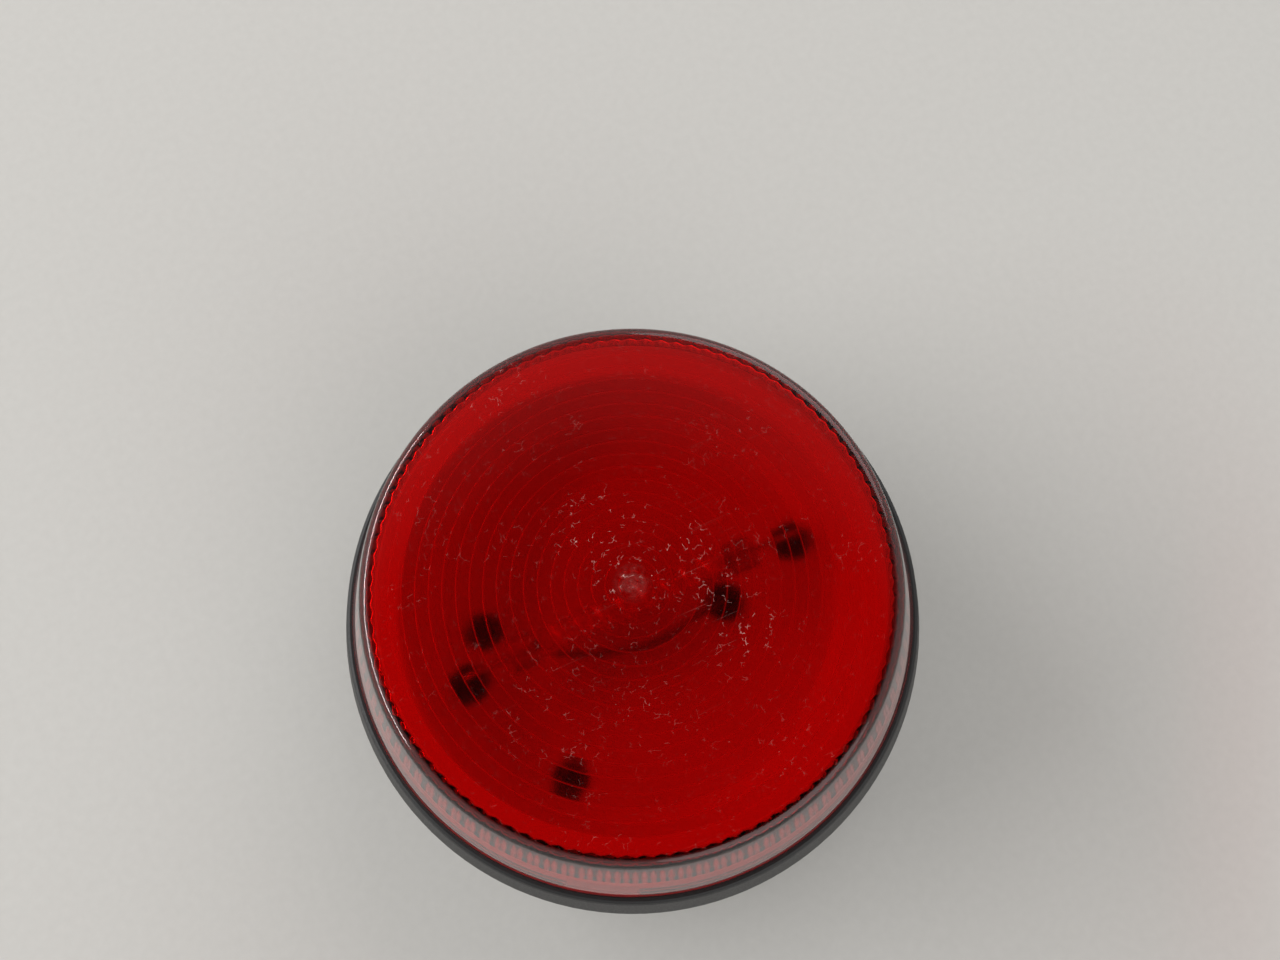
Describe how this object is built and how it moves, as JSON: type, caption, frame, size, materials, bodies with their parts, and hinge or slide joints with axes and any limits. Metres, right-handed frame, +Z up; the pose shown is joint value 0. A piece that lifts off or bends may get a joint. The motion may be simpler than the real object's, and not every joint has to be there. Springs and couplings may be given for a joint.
{
  "type": "warning beacon",
  "caption": "Low round xenon warning beacon: red fluted twist-off lens over a white dish and flash tube, on a black drum base for bolting to a flat surface.",
  "frame": {"origin": "centre of the underside of the base gasket, on the lens axis", "axes": "+Z up the lens axis, +X along the flash tube towards the end beside the trigger lead's hole"},
  "size_m": [0.106, 0.106, 0.068],
  "materials": {
    "lens": "polished, see-through red",
    "lens_seal": "natural silicone, matt",
    "base_housing": "moulded black, satin",
    "base_gasket": "matt",
    "threaded_inserts": "machined",
    "cable_grommet": "matt",
    "reflector_dish": "moulded white, satin",
    "reflector_screws": "black zinc",
    "flash_tube": "clear",
    "tube_electrodes": "dark nickel",
    "tube_leads": "nickel wire",
    "trigger_winding": "nickel wire",
    "trigger_lead": "sleeved wire, grey",
    "circuit_board": "solder resist",
    "board_screws": "zinc plated",
    "storage_capacitor": "shrink sleeve",
    "input_capacitor": "shrink sleeve",
    "transformer_core": "ferrite, dull",
    "transformer_bobbin": "moulded nylon",
    "transformer_winding": "yellow tape",
    "trigger_coil": "dipped",
    "switching_transistor": "moulded case",
    "heatsink": "bent sheet",
    "transistor_screw": "zinc plated",
    "thyristor": "moulded case",
    "trigger_capacitor": "dipped film",
    "rectifier_diodes": "moulded case",
    "resistors": "lacquered",
    "terminal_block": "moulded",
    "terminal_screws": "zinc plated"
  },
  "bodies": {
    "base": {"lens_seal": "lens_seal", "base_housing": "base_housing", "base_gasket": "base_gasket", "threaded_inserts": "threaded_inserts", "cable_grommet": "cable_grommet", "reflector_dish": "reflector_dish", "reflector_screws": "reflector_screws", "flash_tube": "flash_tube", "tube_electrodes": "tube_electrodes", "tube_leads": "tube_leads", "trigger_winding": "trigger_winding", "trigger_lead": "trigger_lead", "circuit_board": "circuit_board", "board_screws": "board_screws", "storage_capacitor": "storage_capacitor", "input_capacitor": "input_capacitor", "transformer_core": "transformer_core", "transformer_bobbin": "transformer_bobbin", "transformer_winding": "transformer_winding", "trigger_coil": "trigger_coil", "switching_transistor": "switching_transistor", "heatsink": "heatsink", "transistor_screw": "transistor_screw", "thyristor": "thyristor", "trigger_capacitor": "trigger_capacitor", "rectifier_diodes": "rectifier_diodes", "resistors": "resistors", "terminal_block": "terminal_block", "terminal_screws": "terminal_screws"},
    "lens": {"lens": "lens"}
  },
  "joints": [
    {"name": "lens_twist", "type": "hinge", "parent": "base", "child": "lens", "pos_m": [0, 0, 0.0456], "axis": [0, 0, 1], "range_deg": [0, 22]}
  ]
}
